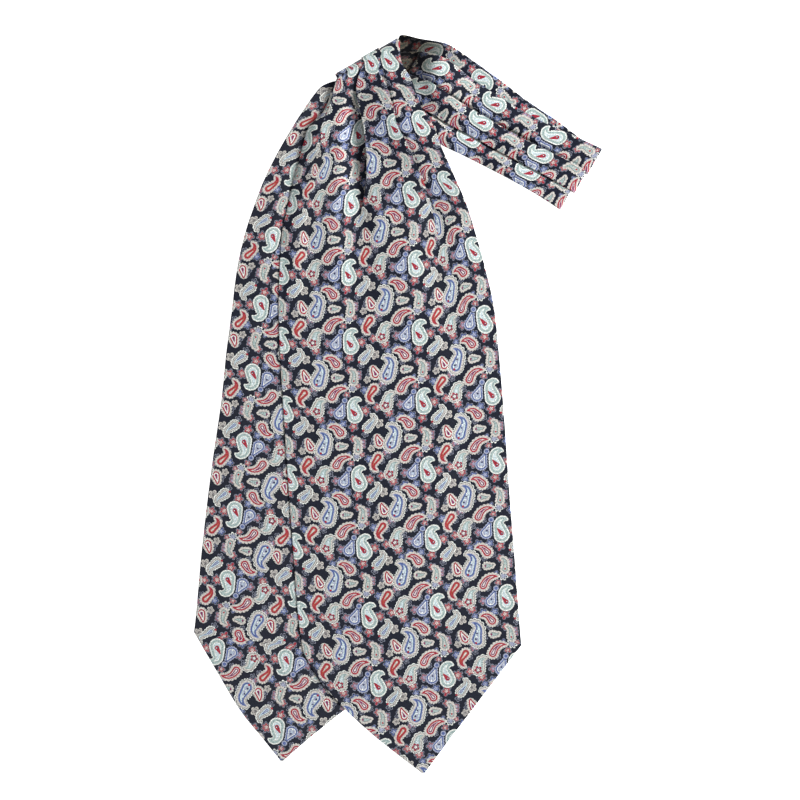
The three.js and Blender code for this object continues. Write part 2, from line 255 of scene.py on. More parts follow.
# The same rows: how far each pleat steps up, the height that the cloth rests at on the left and on the
# right, the share of the width where that changes, the width of this ramp, how far the cloth puffs up,
# the power that shapes the puff's shoulders, how far a row keeps its puff up to its lip, and the crevice's
# depth at the right-hand pleat.
FORM_COLUMNS = "flapStep sideStep middleStep lift liftRight rampAt ramp puff shoulder stands crevice"
FRONT_FORMS = table(FORM_COLUMNS, [
    (0.3, 0.8, 0.8, 6.6, 6.6, 0.2, 30, 0, 0.6, 1, 0),
    (0.4, 0.8, 0.8, 4.8, 6.5, 0.2, 30, 0.4, 0.6, 1, 0.4),
    (0.6, 0.9, 0.8, 3.3, 6.3, 0.2, 30, 1.2, 0.6, 1, 0.8),
    (0.6, 1.0, 0.8, 2.4, 6.1, 0.3, 30, 3.0, 0.6, 1, 0.8),
    (0.5, 1.2, 0.7, 1.7, 5.8, 0.44, 30, 5.0, 0.6, 1, 0.6),
    (0.3, 1.2, 0.6, 1.2, 5.2, 0.5, 34, 5.6, 0.6, 1, 0.5),
    (0.06, 1.2, 0.5, 0.95, 4.6, 0.52, 38, 5.4, 0.6, 1, 0.5),
    (0.06, 1.0, 0.5, 0.9, 3.6, 0.54, 38, 4.6, 0.6, 0.9, 0.5),
    (0.06, 0.4, 0.4, 0.9, 2.4, 0.56, 38, 3.2, 0.8, 0.5, 0.4),
    (0.06, 0.06, 0.2, 0.9, 1.4, 0.6, 30, 2.2, 1.3, 0.1, 0.2),
    (0.06, 0.06, 0.06, 0.9, 0.6, 0.64, 20, 1.4, 1.8, 0, 0),
    (0.06, 0.06, 0.06, 0.9, 0, 0.685, 14, 0.7, 2, 0, 0),
    (0.06, 0.06, 0.06, 0.9, 0, 0.71, 14, 0.2, 2, 0, 0),
    (0.06, 0.06, 0.06, 0.9, 0, 0.73, 14, 0, 2, 0, 0),
    (0.06, 0.06, 0.06, 0.9, 0, 0.69, 14, 0, 2, 0, 0),
    (0.06, 0.06, 0.06, 0.9, 0, 0.62, 14, 0, 2, 0, 0),
    (0.06, 0.06, 0.06, 0.9, 0, 0.56, 14, 0, 2, 0, 0),
    (0.06, 0.06, 0.06, 0.9, 0, 0.52, 14, 0, 2, 0, 0),
])
# Front blade's point, below its corners.
FRONT_POINT = table("leftX leftY rightX rightY lift rampAt", [
    (-52.0, -184.7, 66.0, -182.0, 0.9, 0.46),
    (-35.3, -203.3, 49.3, -204.0, 0.9, 0.1),
    (-13.3, -223.3, 34.0, -224.0, 0, 0),
    (15.7, -245.7, 18.0, -245.7, 0, 0),
])
# Back blade, from the neckband round under the front blade to its corners: outer edge, inner edge, and
# the underside's height at each.
BACK_PLACES = table("leftX leftY rightX rightY lift liftInner", [
    (14.5, 234.8, -8.2, 194.2, 1.35, 1.35),
    (-1.0, 233.5, -11.5, 192.5, 1.2, 1.2),
    (-17.0, 227.0, -13.5, 190.0, 1.6, 1.6),
    (-33.0, 217.5, -15.0, 186.5, 2.7, 2.0),
    (-46.5, 213.8, -16.0, 182.5, 2.2, 1.2),
    (-54.0, 208.5, -16.5, 177.0, 1.4, 0.5),
    (-67.0, 190.0, -15.5, 169.5, 0.4, 0.1),
    (-79.5, 169.0, -12.5, 160.0, 0, 0),
    (-89.5, 149.0, -7.0, 148.5, 0, 0),
    (-96.5, 130.5, -1.0, 132.5, 0, 0),
    (-102.5, 112.0, 4.5, 112.5, 0, 0),
    (-107.5, 89.0, 10.5, 89.5, 0, 0),
    (-111.0, 61.0, 17.0, 62.5, 0, 0),
    (-114.5, 34.5, 22.5, 36.0, 0, 0),
    (-118.0, 1.0, 28.5, -4.0, 0, 0),
    (-124.5, -44.0, 26.0, -51.0, 0, 0),
    (-130.5, -94.0, 20.0, -104.0, 0, 0),
    (-134.5, -138.0, 12.5, -150.5, 0, 0),
    (-136.0, -152.0, 6.5, -170.5, 0, 0),
])
# Back blade's point, below its corners.
BACK_POINT = table("leftX leftY rightX rightY lift liftInner", [
    (-121.3, -177.3, -9.3, -183.3, 0, 0),
    (-105.3, -204.0, -36.7, -204.7, 0, 0),
    (-89.3, -224.0, -60.7, -224.0, 0, 0),
    (-78.3, -237.7, -76.3, -237.7, 0, 0),
])
# Neckband's upper run, from its right end to where the front blade hides it: upper edge, lower edge.
OVER_PLACES = table("leftX leftY rightX rightY", [
    (116.0, 179.3, 91.3, 140.0),
    (102.7, 184.7, 74.7, 149.3),
    (81.3, 196.0, 59.3, 157.3),
    (61.3, 208.7, 44.7, 164.7),
    (48.0, 217.3, 28.0, 172.7),
    (38.0, 225.3, 13.3, 180.7),
    (28.0, 231.3, 1.3, 188.0),
    (14.7, 234.7, -8.0, 194.0),
])
# Neckband's lower run, from its right end to the front blade's fold: upper edge, lower edge.
UNDER_PLACES = table("leftX leftY rightX rightY", [
    (134.4, 170.8, 104.7, 131.4),
    (123.3, 176.0, 92.0, 142.0),
    (105.3, 189.3, 75.3, 150.7),
    (85.3, 202.7, 55.3, 163.3),
    (68.0, 216.0, 38.7, 175.3),
    (49.3, 229.3, 22.7, 187.3),
    (36.0, 238.0, 12.0, 195.0),
    (28.0, 241.0, 7.0, 199.5),
    (14.7, 243.3, 2.0, 203.0),
    (4.7, 245.7, -6.0, 205.0),
    (0.8, 244.8, -12.0, 206.0),
    (2.2, 239.8, -39.8, 215.8),
])

# Soft creases: where each one runs, its width, and its height (below zero is a trough).
FRONT_CREASES = table("fromX fromY toX toY width height", [
    (-34.0, 188.0, -44.0, 118.0, 8.0, 0.7),
    (-18.0, 182.0, -12.0, 92.0, 9.0, 0.8),
    (-2.0, 172.0, 14.0, 84.0, 8.0, 0.5),
    (-25.0, 146.0, -27.0, 60.0, 7.0, -0.8),
    (22.0, 150.0, 38.0, 70.0, 6.0, -0.7),
    (-58.0, 160.0, -62.0, 80.0, 7.0, 0.5),
])
BACK_CREASES = table("fromX fromY toX toY width height", [
    (-70.0, 168.0, -92.0, 92.0, 6.0, 0.5),
    (-84.0, 130.0, -100.0, 40.0, 7.0, 0.4),
])

# Colours of the print, as they look in daylight.
COLOURS = {
    "ground": (21, 25, 39),
    "white": (212, 215, 210),
    "pale": (184, 198, 202),
    "mint": (148, 166, 164),
    "sky": (164, 178, 194),
    "cream": (188, 184, 178),
    "tan": (84, 82, 86),
    "red": (150, 43, 57),
    "flame": (162, 70, 56),
    "rose": (172, 124, 126),
    "wine": (120, 48, 88),
    "blue": (76, 92, 142),
    "lilac": (148, 154, 176),
    "lace": (116, 120, 134),
    "night": (46, 48, 78),
}
# Each drawing's rings, from its outline to its heart: the share of its radius where each starts.
RINGS = {
    "silver": "0 ground 0.06 white 0.2 mint 0.48 white 0.58 pale",
    "drop": "0 red",
    "bulb": "0 ground 0.05 lilac 0.2 blue 0.38 white 0.5 lilac 0.78 sky",
    "head": "0 ground 0.12 lilac 0.36 blue 0.62 pale",
    "red_heart": "0 cream 0.3 rose 0.36 red 0.59 white 0.67 wine 0.87 white",
    "ember": "0 cream 0.32 rose 0.4 red 0.63 flame 0.8 cream",
    "mint_eye": "0 white 0.14 tan 0.2 cream 0.42 mint 0.66 pale",
    "lilac": "0 white 0.18 tan 0.26 cream 0.46 tan 0.54 pale 0.74 blue 0.84 lilac",
    "slender": "0 cream 0.44 tan 0.52 mint 0.78 cream",
    "eye": "0 cream 0.48 tan 0.58 mint",
    "plume": "0 white 0.11 tan 0.16 cream 0.36 lilac 0.43 blue 0.62 pale 0.8 lilac",
    "berry": "0 cream 0.32 red 0.56 white 0.76 wine",
    "red_flower": "0 lace 0.24 ground 0.36 rose 0.52 red 0.84 cream",
    "rose_flower": "0 lace 0.26 ground 0.4 rose 0.62 wine 0.82 lilac",
    "blue_flower": "0 lace 0.24 ground 0.38 blue 0.72 lilac",
    "cream_flower": "0 cream 0.36 tan 0.54 cream 0.8 tan",
    "snow_flower": "0 white 0.34 night 0.6 lilac",
    "lace_flower": "0 lace 0.3 ground 0.7 lace",
    "iris": "0 red 0.46 night 0.72 white",
    "red_dot": "0 red",
    "wine_dot": "0 wine",
    "white_dot": "0 white",
    "mint_dot": "0 mint",
    "night_dot": "0 night",
}
# Paisleys of one repeat: the bulb's middle to the right of the silver motif's middle and below it, the
# way the tail points (degrees clockwise from up), the bulb's radius, the tail's straight part, the radius
# it curls with (below zero curls left), its length from the bulb's middle, how soon it thins (near zero
# is last), and the depth of its scallops as a share of the bulb's radius.
PAISLEYS = (
    ("red_heart", -10.5, 14.7, -36, 4.0, 3.0, -4.4, 10.4, 0.42, 0.24),
    ("bulb", -10.2, 1.4, 25, 4.4, 9.0, 9.0, 13.4, 1.5, 0.16),
    ("ember", 13.7, -12.3, 220, 3.6, 4.5, -3.3, 12.4, 0.4, 0.26),
    ("mint_eye", 21.4, -0.2, 16, 4.4, 5.0, 3.0, 11.2, 0.38, 0.22),
    ("lilac", 7.9, 13.4, 45, 3.6, 5.5, -2.6, 11.6, 0.42, 0.2),
    ("slender", 0.5, 27.6, 8, 3.1, 4.0, -3.4, 9.8, 0.3, 0.26),
    ("eye", -11.6, 23.8, 95, 2.8, 2.5, -3.0, 5.8, 0.36, 0.26),
    ("berry", 15.4, 24.7, -22, 3.8, 2.4, 9.0, 6.8, 0.36, 0.2),
    ("plume", 23.2, 26.4, 24, 5.6, 6.5, -4.4, 17.0, 0.4, 0.22),
    ("red_heart", -14.7, -9.8, 31, 3.9, 2.0, 7.2, 13.2, 0.38, 0.24),
    ("silver", 0.1, 4.1, -12, 5.7, 6.3, 3.5, 15.8, 0.52, 0.06),
    ("drop", 0.0, 3.2, -36, 1.5, 4.0, 9.0, 4.8, 0.6, 0.0),
)
# Small flowers: middle to the right and below, radius, and petals in half a turn.
FLOWERS = (
    ("red_flower", -4.6, -10.5, 2.1, 2.5),
    ("rose_flower", -15.3, 0.5, 2.6, 2.5),
    ("red_flower", 7.0, 1.9, 3.0, 3.5),
    ("red_flower", -1.5, 11.4, 2.8, 2.5),
    ("red_dot", -2.5, 14.0, 1.2, 0),
    ("blue_flower", 7.4, -12.0, 2.3, 2.5),
    ("red_flower", 15.4, 0.4, 2.7, 2.5),
    ("red_flower", 22.9, 5.3, 2.8, 3.5),
    ("lace_flower", 27.0, -4.2, 2.0, 2.5),
    ("cream_flower", 15.6, 11.4, 2.5, 2.5),
    ("lace_flower", 6.0, 17.4, 1.9, 2.5),
    ("blue_flower", -16.2, 8.4, 2.5, 2.5),
    ("blue_flower", -8.4, 8.8, 2.4, 2.5),
    ("lace_flower", -6.8, 16.6, 1.8, 2.5),
    ("lace_flower", -12.8, 18.2, 1.8, 2.5),
    ("red_flower", -2.0, 19.6, 2.3, 2.5),
    ("rose_flower", 4.2, 22.6, 1.9, 2.5),
    ("rose_flower", 4.4, 25.2, 1.6, 1.5),
    ("snow_flower", -0.7, 31.8, 2.5, 3.5),
    ("red_flower", 3.3, 31.1, 1.7, 2.5),
    ("rose_flower", 19.6, 31.4, 2.6, 3.5),
    ("lace_flower", 20.2, 34.2, 1.6, 2.5),
    ("blue_flower", 24.7, 10.1, 2.0, 2.5),
    ("lace_flower", 12.1, 21.4, 1.7, 2.5),
    ("lace_flower", 11.2, 24.2, 1.8, 2.5),
    ("cream_flower", 9.6, 27.6, 1.9, 2.5),
    ("lace_flower", -11.4, -7.3, 1.6, 2.5),
    ("blue_flower", -5.6, -17.0, 1.5, 1.5),
    ("lace_flower", 16.2, -9.4, 1.7, 2.5),
    ("lace_flower", 10.3, -3.8, 2.0, 3.5),
    ("lace_flower", 29.0, 25.0, 1.7, 2.5),
)
# Small round drawings on top of the paisleys.
EYES = (
    ("iris", 20.9, 0.0, 2.0, 2.5),
    ("red_dot", 22.0, 28.2, 1.2, 0),
    ("night_dot", 22.6, 25.6, 1.1, 0),
    ("white_dot", 23.8, 24.2, 0.9, 0),
    ("night_dot", 24.4, 21.8, 0.9, 0),
    ("white_dot", 24.9, 19.8, 0.7, 0),
    ("head", -6.3, -6.8, 3.5, 0),
    ("night_dot", -9.8, 0.2, 1.0, 0),
    ("white_dot", -10.6, 3.0, 0.8, 0),
    ("night_dot", 0.1, 3.4, 0.9, 0),
    ("white_dot", 0.3, 3.0, 0.5, 0),
    ("red_dot", 0.6, 27.3, 1.0, 0),
    ("mint_dot", 1.2, 23.6, 1.0, 0),
    ("wine_dot", -12.4, 23.7, 1.1, 0),
    ("red_dot", 5.0, 15.0, 1.2, 0),
)


def spread(rows, steps_per_row):
    """The rows with more rows between them, each column on a smooth curve through its values."""
    more = []
    last = len(rows) - 1
    for i in range(last):
        around = (rows[max(i - 1, 0)], rows[i], rows[i + 1], rows[min(i + 2, last)])
        for step in range(steps_per_row):
            more.append(blend(around, step / steps_per_row))
    more.append(rows[last])
    return more


def blend(around, share):
    """A row at a share of the way from the second of four rows to the third."""
    row = {}
    for column in around[1]:
        before, start, end, after = (other[column] for other in around)
        leave = (end - before) / 2
        arrive = (after - start) / 2
        bend = 2 * (start - end) + leave + arrive
        sag = 3 * (end - start) - 2 * leave - arrive
        row[column] = ((bend * share + sag) * share + leave) * share + start
    return row


def smooth(share):
    """A soft step from 0 to 1."""
    share = np.clip(share, 0.0, 1.0)
    return share * share * (3 - 2 * share)


def width_of(row):
    """The width of a section."""
    return math.hypot(row["rightX"] - row["leftX"], row["rightY"] - row["leftY"])


def across_of(row):
    """The level direction from a section's left end to its right end."""
    width = width_of(row)
    return (row["rightX"] - row["leftX"]) / width, (row["rightY"] - row["leftY"]) / width


def standing(row, across):
    """Where the places across a section lie on the table."""
    right_x, right_y = across_of(row)
    return row["leftX"] + right_x * across, row["leftY"] + right_y * across


class Outline:
    """The closed outline of a section: places across, heights, and the row of cloth of each point."""

    def __init__(self):
        self.across = []
        self.up = []
        self.row = []

    def add(self, across, up, row):
        places = np.atleast_1d(across)
        self.across.extend(places)
        self.up.extend(np.broadcast_to(up, places.shape))
        self.row.extend([row] * len(places))

    def arrays(self):
        return np.array(self.across), np.array(self.up), np.array(self.row)


def add_lip(outline, pleat, low, high, row):
    """One pleat from left to right: the slit under the upper row, and the upper row's rounded nose."""
    side = 1 if pleat["upper"] == "right" else -1
    size = pleat["step"] / PLEAT_STEP
    slit_top = high - (1 - SLIT_SHARE) * pleat["step"]
    depth = pleat["edge"] + side * SLIT_DEPTH * min(size, 1.0)
    turn = np.linspace(-math.pi / 2, math.pi / 2, LIP_POINTS)
    nose = pleat["edge"] + side * LIP_ROUND * min(size, 1.0) * (1 - np.cos(turn))
    nose_up = (slit_top + high) / 2 + (high - slit_top) / 2 * np.sin(turn)
    if side > 0:
        outline.add(depth, low, row)
        outline.add(depth, slit_top, row + 1)
        outline.add(nose, nose_up, row + 1)
    else:
        outline.add(nose[::-1], nose_up[::-1], row)
        outline.add(depth, slit_top, row)
        outline.add(depth, low, row + 1)


def crevice(away):
    """How much of a crevice's depth is left at a distance from its lip."""
    return 1 - smooth((away / CREVICE_WIDTH - CREVICE_FLAT) / (1 - CREVICE_FLAT))


def cloth_outline(width, wall, pleats, row_points=ROW_POINTS):
    """A section of cloth: rounded left edge, rows with pleats between them, right edge and inner side."""
    outline = Outline()
    round_over = min(EDGE_ROUND, width * EDGE_SHARE)
    turn = np.linspace(-math.pi / 2, math.pi / 2, EDGE_POINTS)[1:-1]
    dense_ends = (1 - np.cos(np.linspace(0, math.pi, row_points))) / 2
    outline.add(round_over * (1 - np.cos(turn)), wall / 2 * (1 + np.sin(turn)), 0)
    level = wall
    start = round_over
    left_crevice = 0.0
    for row, pleat in enumerate(pleats):
        right_over = pleat["upper"] == "right"
        rounding = LIP_CLEAR * LIP_ROUND * min(pleat["step"] / PLEAT_STEP, 1.0)
        level_next = level + pleat["step"] * (1 if right_over else -1)
        end = pleat["edge"] if right_over else pleat["edge"] - rounding
        right_crevice = pleat["crevice"] if right_over else 0.0
        places = start + (end - start) * dense_ends
        sunk = left_crevice * crevice(places - start) + right_crevice * crevice(end - places)
        outline.add(places, level - sunk, row)
        low = min(level, level_next) - pleat["crevice"]
        add_lip(outline, pleat, low, max(level, level_next), row)
        start = pleat["edge"] + rounding if right_over else pleat["edge"]
        left_crevice = 0.0 if right_over else pleat["crevice"]
        level = level_next
    last = len(pleats)
    places = start + (width - round_over - start) * dense_ends
    outline.add(places, level - left_crevice * crevice(places - start), last)
    outline.add(width - round_over * (1 - np.cos(turn)), level / 2 * (1 + np.sin(turn[::-1])), last)
    behind = SLIT_DEPTH + wall
    edges = [pleat["edge"] + (behind if pleat["upper"] == "right" else -behind) for pleat in pleats]
    for place in np.linspace(width - round_over, round_over, INNER_POINTS):
        outline.add(place, 0.0, int(np.searchsorted(edges, place)))
    return outline.arrays()


def ring(x, y, z, right, down, painted_shade=0.0):
    """Points of a section: place, repeats across and up the flat cloth, and its share of painted shade."""
    return np.stack(np.broadcast_arrays(x, y, z, right, -down, painted_shade), axis=1)


def print_place(print_axes, x, y):
    """Repeats to the right of a silver motif's middle and below it, on a stretch that lies flat."""
    (right_x, right_y), (down_x, down_y) = print_axes["right"], print_axes["down"]
    from_x, from_y = x - print_axes["middle"][0], y - print_axes["middle"][1]
    size = right_x * down_y - right_y * down_x
    return (from_x * down_y - from_y * down_x) / size, (right_x * from_y - right_y * from_x) / size


def creased(creases, x, y):
    """The height that the listed creases add at places on the table."""
    height = np.zeros_like(x)
    for crease in creases:
        run = np.array((crease["toX"] - crease["fromX"], crease["toY"] - crease["fromY"]))
        length = np.hypot(*run)
        run = run / length
        along = (x - crease["fromX"]) * run[0] + (y - crease["fromY"]) * run[1]
        aside = (x - crease["fromX"]) * -run[1] + (y - crease["fromY"]) * run[0]
        share = along / length
        fade = smooth(share * CREASE_GROWS) * smooth((1 - share) * CREASE_FADES)
        height += crease["height"] * fade * np.exp(-((aside / crease["width"]) ** 2))
    return height


def front_pleats(row, width):
    """The pleats of a section of the front blade."""
    names = (("flap", "right"), ("side", "right"), ("middle", "left"))
    return [
        {
            "edge": row[name] * width,
            "step": max(row[name + "Step"], LEAST_STEP),
            "upper": upper,
            "hides": max(row[name + "Hides"], 0.0),
            "crevice": 0.0,
        }
        for name, upper in names
    ]


def cloth_across(pleats, across, row):
    """How far across the flat cloth a place is: a sharp pleat hides cloth and a faded one squeezes it."""
    cloth = across.copy()
    for i, pleat in enumerate(pleats):
        sharp = float(smooth((pleat["step"] - SHARP_FROM) / (SHARP_TO - SHARP_FROM)))
        squeezed = smooth((across - pleat["edge"]) / SOFT_WIDTH + 0.5)
        cloth += pleat["hides"] * (sharp * (row > i) + (1 - sharp) * squeezed)
    return cloth


def row_profile(share, start, end, shoulder):
    """The height of a puffed row, as a share: the part of half a wave from start to end."""
    return np.abs(np.sin(math.pi * (start + (end - start) * share))) ** shoulder


def front_lift(row, width, across, cloth_row):
    """The height that the front blade rests at on what lies below, and how far its rows puff up."""
    edges = np.array([0.0, row["flap"], row["side"], row["middle"], 1.0]) * width
    row_width = edges[cloth_row + 1] - edges[cloth_row]
    share = np.clip((across - edges[cloth_row]) / row_width, 0.0, 1.0)
    on_right = cloth_row == RIGHT_ROW
    sagging = row_profile(share, 0.0, 1.0, row["shoulder"]) * np.where(on_right, RIGHT_ROW_PUFF, 1.0)
    proud = row_profile(share, HIGH_ENDS[cloth_row, 0], HIGH_ENDS[cloth_row, 1], row["shoulder"])
    sunk = smooth((share - CHANNEL_FROM) / (CHANNEL_AT - CHANNEL_FROM)) * (cloth_row == LEFT_ROW)
    stands = min(max(row["stands"], 0.0), 1.0)
    puffed = max(row["puff"], 0.0) * (sagging + (proud - sunk - sagging) * stands)
    puffed -= row["crevice"] * stands * crevice(share * row_width) * on_right
    onward = smooth((across - row["rampAt"] * width) / row["ramp"])
    rests_at = np.maximum(row["lift"] + (row["liftRight"] - row["lift"]) * onward, 0.0)
    return rests_at, puffed


def print_bend(right, y, from_middle):
    """Repeats that the print is bent near the front blade's left edge, and right of its middle pleat."""
    inward = np.clip((right - FRONT_LEFT_EDGE) * REPEAT / BEND_WIDTH, 0.0, 1.0)
    left_bend = BEND_HEIGHT * (1 - inward) ** 2 * smooth((BEND_TOP - y) / (BEND_TOP - BEND_FULL))
    right_bend = RIGHT_BEND_HEIGHT * smooth(from_middle / RIGHT_BEND_WIDTH) * smooth(y / RIGHT_BEND_FULL)
    fading = smooth((RIGHT_BEND_ENDS - y) / (RIGHT_BEND_ENDS - RIGHT_BEND_FADES))
    return (left_bend + right_bend * fading) / REPEAT


def front_rings():
    """The front blade from its fold to its point. A trough in it goes no lower than what it rests on."""
    rows = [{**place, **form} for place, form in zip(FRONT_PLACES, FRONT_FORMS)]
    corners = rows[-1]
    point = [corners] + [{**corners, **row} for row in FRONT_POINT]
    blade = spread(rows, FINE_STEPS)
    rings = []
    for number, row in enumerate(blade + spread(point, FINE_STEPS)[1:]):
        width = width_of(row)
        pleats = front_pleats(row, width)
        across, up, cloth_row = cloth_outline(width, WALL, pleats)
        x, y = standing(row, across)
        rests_at, puffed = front_lift(row, width, across, cloth_row)
        lift = rests_at + np.maximum(puffed + creased(FRONT_CREASES, x, y), np.minimum(puffed, 0.0))
        right, down = print_place(FRONT_PRINT, x, y)
        if number < len(blade):
            right = FRONT_LEFT_EDGE + cloth_across(pleats, across, cloth_row) / REPEAT
        from_middle = (across - row["middle"] * width) * (cloth_row == RIGHT_ROW)
        down = down + print_bend(right, y, from_middle)
        rings.append(ring(x, y, up + lift, right, down))
    return rings


def turned(axis, across, far, axis_height, angle):
    """Places of a section that is turned about a level axis: far is the distance from the axis."""
    right_x, right_y = across_of(axis)
    out = math.sin(angle) * far
    x = axis["leftX"] + right_x * across - right_y * out
    y = axis["leftY"] + right_y * across + right_x * out
    return x, y, axis_height + math.cos(angle) * far


def turn_rings():
    """The fold between the neckband's lower run and the front blade, rolled over from below."""
    row = {**FRONT_PLACES[0], **FRONT_FORMS[0]}
    width = width_of(TURN_AXIS)
    pleats = front_pleats(row, width)
    axis_height = (TURN_UNDERSIDE + WALL + row["flapStep"] + row["sideStep"]) / 2
    across, up, cloth_row = cloth_outline(width, WALL, pleats)
    far = up + TURN_UNDERSIDE - axis_height
    right = FRONT_LEFT_EDGE + cloth_across(pleats, across, cloth_row) / REPEAT
    rings = []
    for step in range(TURN_STEPS + 1):
        angle = math.pi * (1 - step / TURN_STEPS)
        x, y, z = turned(TURN_AXIS, across, far, axis_height, angle)
        axis_x, axis_y = standing(TURN_AXIS, across)
        down = print_place(FRONT_PRINT, axis_x, axis_y)[1] - angle * axis_height / REPEAT
        rings.append(ring(x, y, z, right, down))
    return rings


def back_rings():
    """The back blade from the neckband to its point."""
    blade = spread(BACK_PLACES, FINE_STEPS)
    point = spread([BACK_PLACES[-1]] + BACK_POINT, FINE_STEPS)[1:]
    rings = []
    for number, row in enumerate(blade + point):
        across, up, _ = cloth_outline(width_of(row), WALL, [], BACK_POINTS)
        x, y = standing(row, across)
        sagging = row["lift"] + (row["liftInner"] - row["lift"]) * smooth(across / width_of(row))
        lift = np.maximum(np.maximum(sagging, 0.0) + creased(BACK_CREASES, x, y), 0.0)
        right, down = print_place(BACK_PRINT, x, y)
        # Painted shade darkens the first rows, which lie in the hollow under the front blade's fold.
        painted_shade = 1 - float(smooth(number / (FINE_STEPS * HIDDEN_ROWS) - 1))
        if number < FINE_STEPS * HIDDEN_ROWS:
            cloth_row = np.searchsorted((OVER_MIDDLE_FROM, OVER_MIDDLE_TO), across / width_of(row))
            right, down = over_print(x, y, across, cloth_row, LEFT_END_SHIFT)
        elif number < len(blade):
            right = BACK_LEFT_EDGE - across / REPEAT
        rings.append(ring(x, y, up + lift, right, down, painted_shade))
    return rings


def over_section(width, wall, upper_gape, lower_gape):
    """A section of the neckband's upper run, with the middle row over the other two."""
    upper_depth = UPPER_CREVICE * upper_gape
    lower_depth = LOWER_CREVICE * lower_gape
    pleats = [
        {"edge": OVER_MIDDLE_FROM * width, "step": PLEAT_STEP, "upper": "right", "crevice": upper_depth},
        {"edge": OVER_MIDDLE_TO * width, "step": PLEAT_STEP, "upper": "left", "crevice": lower_depth},
    ]
    return cloth_outline(width, wall, pleats)


def gape(along, waves):
    """How far a crevice of the neckband is open: uneven along its length, and closed at its left end."""
    uneven = GAPE_LEAST + (1 - GAPE_LEAST) * math.sin(math.pi * along * waves) ** 2
    return uneven * (1 - float(smooth((along - GAPES_UNTIL) / (1 - GAPES_UNTIL))))


def over_print(x, y, across, cloth_row, shift=0.0):
    """Repeats to the right of a silver motif's middle and below it, on the neckband's upper run."""
    along_x, along_y = OVER_PRINT["along"]
    length = math.hypot(along_x, along_y)
    along = ((x - OVER_PRINT["middle"][0]) * along_x + (y - OVER_PRINT["middle"][1]) * along_y) / length
    down = (along + OVER_PRINT["skew"] * (across - OVER_MOTIFS[1])) / length
    right = (np.array(OVER_MOTIFS)[cloth_row] + shift - across) / REPEAT
    return right, down


def over_rings():
    """The neckband's upper run, with the fold at its right end that joins it to the lower run."""
    axis_height = (OVER_LIFT + OVER_STACK + PLEAT_STEP) / 2
    bore = axis_height - END_WALL - PLEAT_STEP
    width = width_of(END_AXIS)
    across, up, cloth_row = over_section(width, END_WALL, 0.0, 0.0)
    edges = np.array((0.0, OVER_MIDDLE_FROM, OVER_MIDDLE_TO, 1.0)) * width
    share = (across - edges[cloth_row]) / (edges[cloth_row + 1] - edges[cloth_row])
    tooth = END_TOOTH * (share - 0.5)
    right_x, right_y = across_of(END_AXIS)
    rings = []
    for step in range(TURN_STEPS + 1):
        angle = math.pi * (1 - step / TURN_STEPS)
        x, y, z = turned(END_AXIS, across, up + bore, axis_height, angle)
        outward = math.sin(angle) * tooth
        x, y = x - right_y * outward, y + right_x * outward
        axis_x, axis_y = standing(END_AXIS, across)
        right, down = over_print(axis_x, axis_y, across, cloth_row)
        rings.append(ring(x, y, z, right, down + angle * axis_height / REPEAT))
    rows = spread(OVER_PLACES, FINE_STEPS)
    for number, row in enumerate(rows):
        along = number / (len(rows) - 1)
        width = width_of(row)
        upper_gape, lower_gape = gape(along, UPPER_GAPES), gape(along, LOWER_GAPES)
        across, up, cloth_row = over_section(width, OVER_STACK, upper_gape, lower_gape)
        x, y = standing(row, across)
        share = across / width
        crest_at = CREST_TOP + (CREST_BOTTOM - CREST_TOP) * share
        rising = smooth((along - crest_at + CREST_RISE) / CREST_RISE)
        dropping = smooth((along - crest_at) / CREST_DROP)
        crest = CREST_HEIGHT * (1 - smooth((share - CREST_FADES) / CREST_FADES))
        lift = OVER_LIFT + crest * (rising - dropping)
        up = up - END_DROP * dropping * np.minimum(up / OVER_STACK, 1.0)
        edges = np.array((0.0, OVER_MIDDLE_FROM, OVER_MIDDLE_TO, 1.0))
        row_share = (share - edges[cloth_row]) / (edges[cloth_row + 1] - edges[cloth_row])
        puff = OVER_PUFF * float(smooth(along * PUFF_STARTS))
        puff = puff * np.sin(math.pi * np.clip(row_share, 0.0, 1.0))
        leftwards = float(smooth((along - CREST_BOTTOM) / (1 - CREST_BOTTOM)))
        right, down = over_print(x, y, across, cloth_row, LEFT_END_SHIFT * leftwards)
        # Painted shade darkens the run's left end, where it drops behind its crest into the hollow.
        painted_shade = smooth((along - PAINTED_SHADE_FROM) / (1 - PAINTED_SHADE_FROM))
        rings.append(ring(x, y, up + lift + puff, right, down, painted_shade))
    return rings


def under_rings():
    """The neckband's lower run, from its right end to the front blade's fold."""
    rings = []
    along_x, along_y = UNDER_PRINT["along"]
    length = math.hypot(along_x, along_y)
    rows = spread(UNDER_PLACES, FINE_STEPS)
    for number, row in enumerate(rows):
        along = number / (len(rows) - 1)
        hollow = float(smooth((along - HOLLOW_FROM) / (HOLLOW_AT - HOLLOW_FROM)))
        across, up, _ = cloth_outline(width_of(row), UNDER_STACK - HOLLOW_DEPTH * hollow, [])
        x, y = standing(row, across)
        strip = float(smooth((along - STRIP_FROM) / (HOLLOW_FROM - STRIP_FROM))) * (1 - hollow)
        up = up + STRIP_HEIGHT * strip * np.exp(-((across / STRIP_WIDTH) ** 2))
        up = up + RIM_HEIGHT * hollow * np.exp(-((across / RIM_WIDTH) ** 2))
        from_x, from_y = x - UNDER_PRINT["middle"][0], y - UNDER_PRINT["middle"][1]
        down = (from_x * along_x + from_y * along_y) / length**2
        down = np.where(down > 0, down * UNDER_PRINT["squeezed"], down)
        right = (across - UNDER_PRINT["below_edge"]) / REPEAT
        # Painted shade darkens the run where it lies in the hollow beside the front blade's fold.
        painted_shade = smooth((along - UNDER_PAINTED_SHADE_FROM) / (HOLLOW_AT - UNDER_PAINTED_SHADE_FROM))
        rings.append(ring(x, y, up, right, down, painted_shade))
    return rings


def added(name, data):
    """A new object in the scene."""
    thing = bpy.data.objects.new(name, data)
    bpy.context.scene.collection.objects.link(thing)
    return thing


